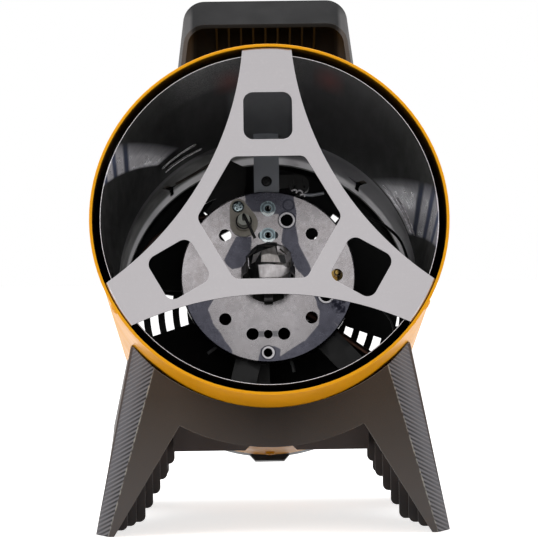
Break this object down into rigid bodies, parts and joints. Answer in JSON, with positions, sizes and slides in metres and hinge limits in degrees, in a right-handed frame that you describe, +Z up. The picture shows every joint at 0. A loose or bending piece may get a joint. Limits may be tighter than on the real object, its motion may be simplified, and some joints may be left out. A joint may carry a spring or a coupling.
{
  "type": "gas forced air heater",
  "caption": "Tubular gas forced air heater tilted nose-up on a moulded base, with an outlet guard, burner, igniter, rear fan and carrying handle.",
  "frame": {"origin": "centre of the footprint, on the ground under the feet", "axes": "+Z up, -Y out of the hot-air outlet, +X to the right when one looks into the outlet"},
  "size_m": [0.2814, 0.4192, 0.4322],
  "materials": {
    "yellow_paint": "semi-gloss",
    "black_enamel": "gloss",
    "galvanised": "satin",
    "stainless": "brushed",
    "burner_steel": "mottled by heat",
    "cup_steel": "polished and creased",
    "burnt_steel": "darkened by heat",
    "zinc": "bright zinc",
    "brass": "machined",
    "tube_copper": "drawn",
    "ceramic": "dull ceramic",
    "black_plastic": "fine texture",
    "base_plastic": "fine texture",
    "black_rubber": "matt",
    "motor_steel": "satin",
    "red_plastic": "gloss"
  },
  "bodies": {
    "heater": {"outer_shell": "yellow_paint", "inner_cylinder": "black_enamel", "fan_duct": "galvanised", "chamber_standoffs": "galvanised", "front_guard": "stainless", "guard_screws": "yellow_paint", "burner_plate": "burner_steel", "burner_straps": "galvanised", "strap_screw": "motor_steel", "flame_cup": "cup_steel", "flame_spreader": "burnt_steel", "burner_venturi": "burnt_steel", "gas_injector": "brass", "gas_tube": "tube_copper", "tube_grommet": "black_rubber", "igniter_insulator": "ceramic", "igniter_electrode": "motor_steel", "igniter_screw": "zinc", "plate_rivet_nuts": "zinc", "flame_sensor": "brass", "overheat_switch": "zinc", "rear_cover": "black_plastic", "rear_cover_screws": "yellow_paint", "fan_motor": "motor_steel", "motor_screws": "zinc", "handle": "black_plastic", "handle_screws": "zinc", "base_front_arch": "base_plastic", "base_side_right": "base_plastic", "base_side_left": "base_plastic", "base_cross_panel": "base_plastic", "base_screws": "zinc", "gas_panel": "base_plastic", "gas_valve": "brass", "gas_inlet": "brass", "switch_panel": "base_plastic", "switch_housing": "black_plastic", "piezo_unit": "black_plastic", "cable_gland": "black_plastic"},
    "fan": {"fan_impeller": "black_plastic", "motor_shaft": "zinc"},
    "knob": {"valve_knob": "black_plastic"},
    "rocker": {"power_rocker": "red_plastic"},
    "button": {"igniter_button": "red_plastic"}
  },
  "joints": [
    {"name": "fan_spin", "type": "hinge", "parent": "heater", "child": "fan", "pos_m": [0, 0.13025, 0.18338], "axis": [0, 0.9781, -0.2079], "continuous": true},
    {"name": "valve_turn", "type": "hinge", "parent": "heater", "child": "knob", "pos_m": [0.1211, 0.1542, 0.0805], "axis": [0, 1, 0], "range_deg": [0, 270]},
    {"name": "rocker_tilt", "type": "hinge", "parent": "heater", "child": "rocker", "pos_m": [-0.122, 0.1462, 0.084], "axis": [1, 0, 0], "range_deg": [0, 16]},
    {"name": "igniter_press", "type": "slide", "parent": "heater", "child": "button", "axis": [0, -1, 0], "range_m": [0, 0.005], "stiffness_N_per_m": 1200, "springref_m": -0.002}
  ]
}
